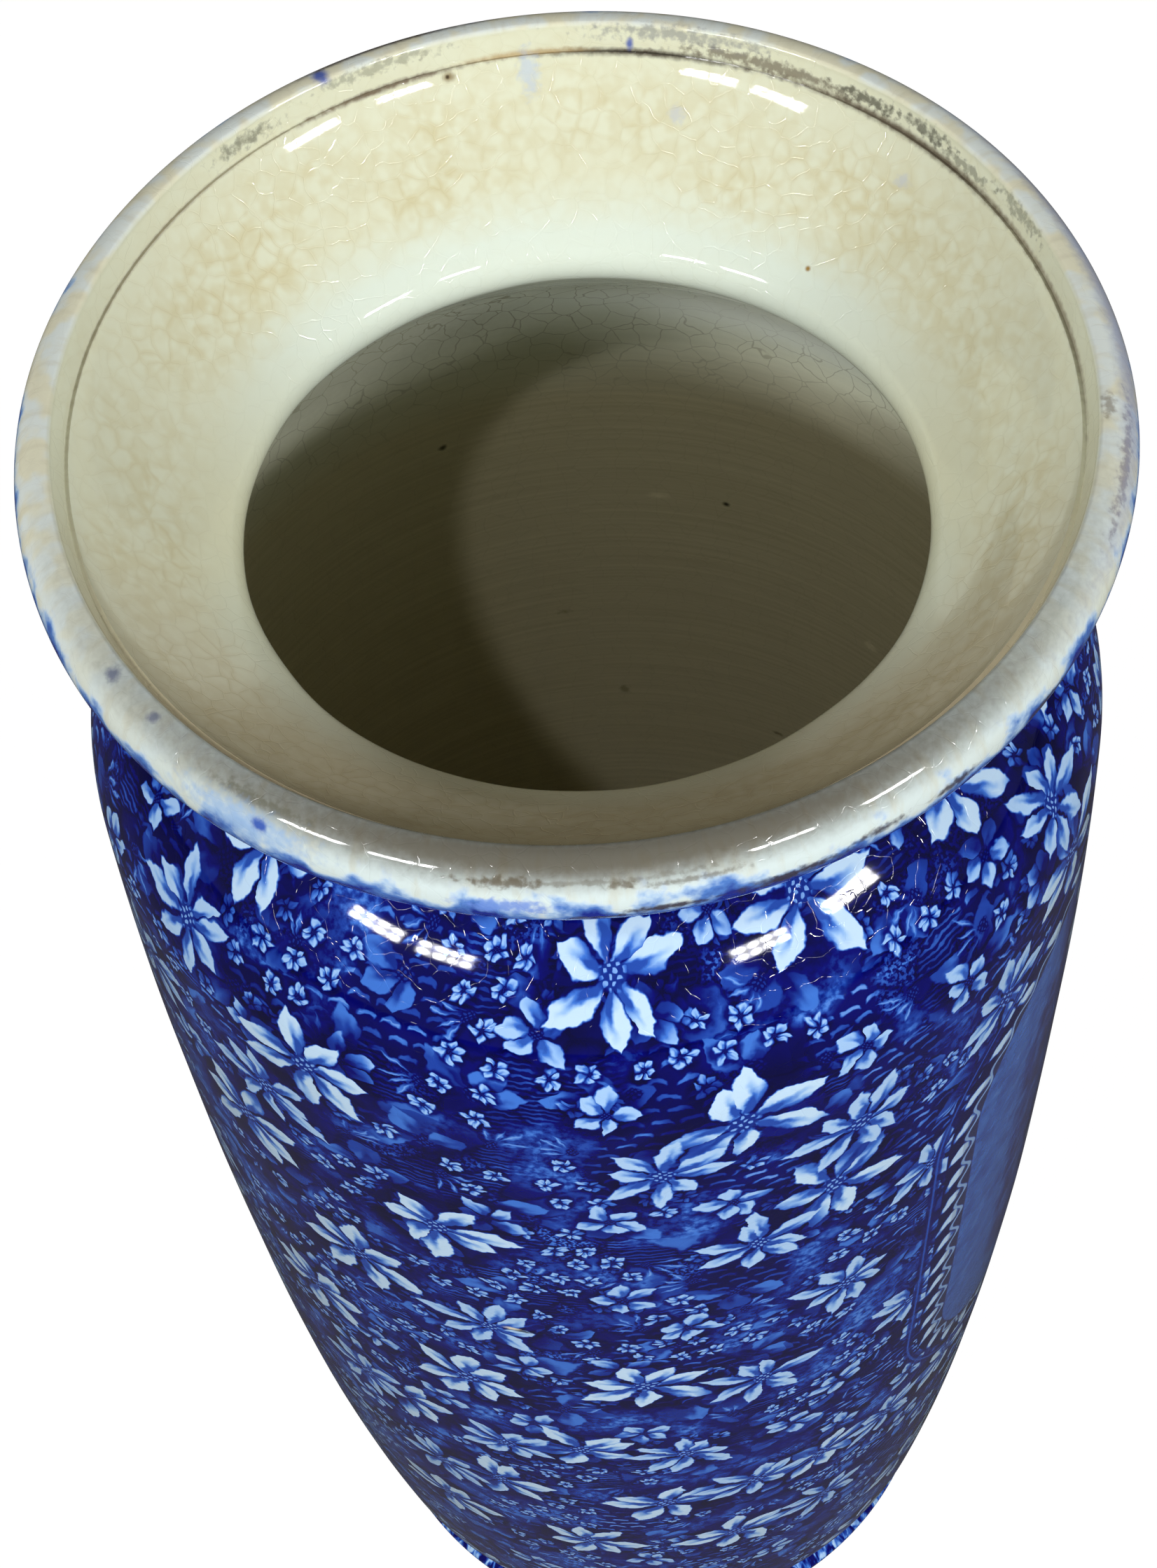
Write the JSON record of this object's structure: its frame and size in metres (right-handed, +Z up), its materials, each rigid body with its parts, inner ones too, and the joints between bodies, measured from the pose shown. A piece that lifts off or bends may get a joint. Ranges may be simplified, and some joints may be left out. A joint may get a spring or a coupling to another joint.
{
  "type": "vase",
  "caption": "Tall pottery vase with a high round shoulder, a wide flared mouth with a rolled lip, and a spreading foot ring.",
  "frame": {"origin": "centre of the standing face under the foot ring, on the vase's axis", "axes": "+Z up along the vase's axis of turning; +Y away from the side that the picture was taken from"},
  "size_m": [0.1336, 0.1336, 0.3061],
  "materials": {
    "printed_body": "glossy lead glaze over a blue printed pattern",
    "cream_mouth": "glossy, finely crazed cream glaze",
    "printed_foot": "glossy glaze over a blue printed border"
  },
  "bodies": {
    "root": {"body": "printed_body", "mouth": "cream_mouth", "foot_ring": "printed_foot"}
  },
  "joints": []
}
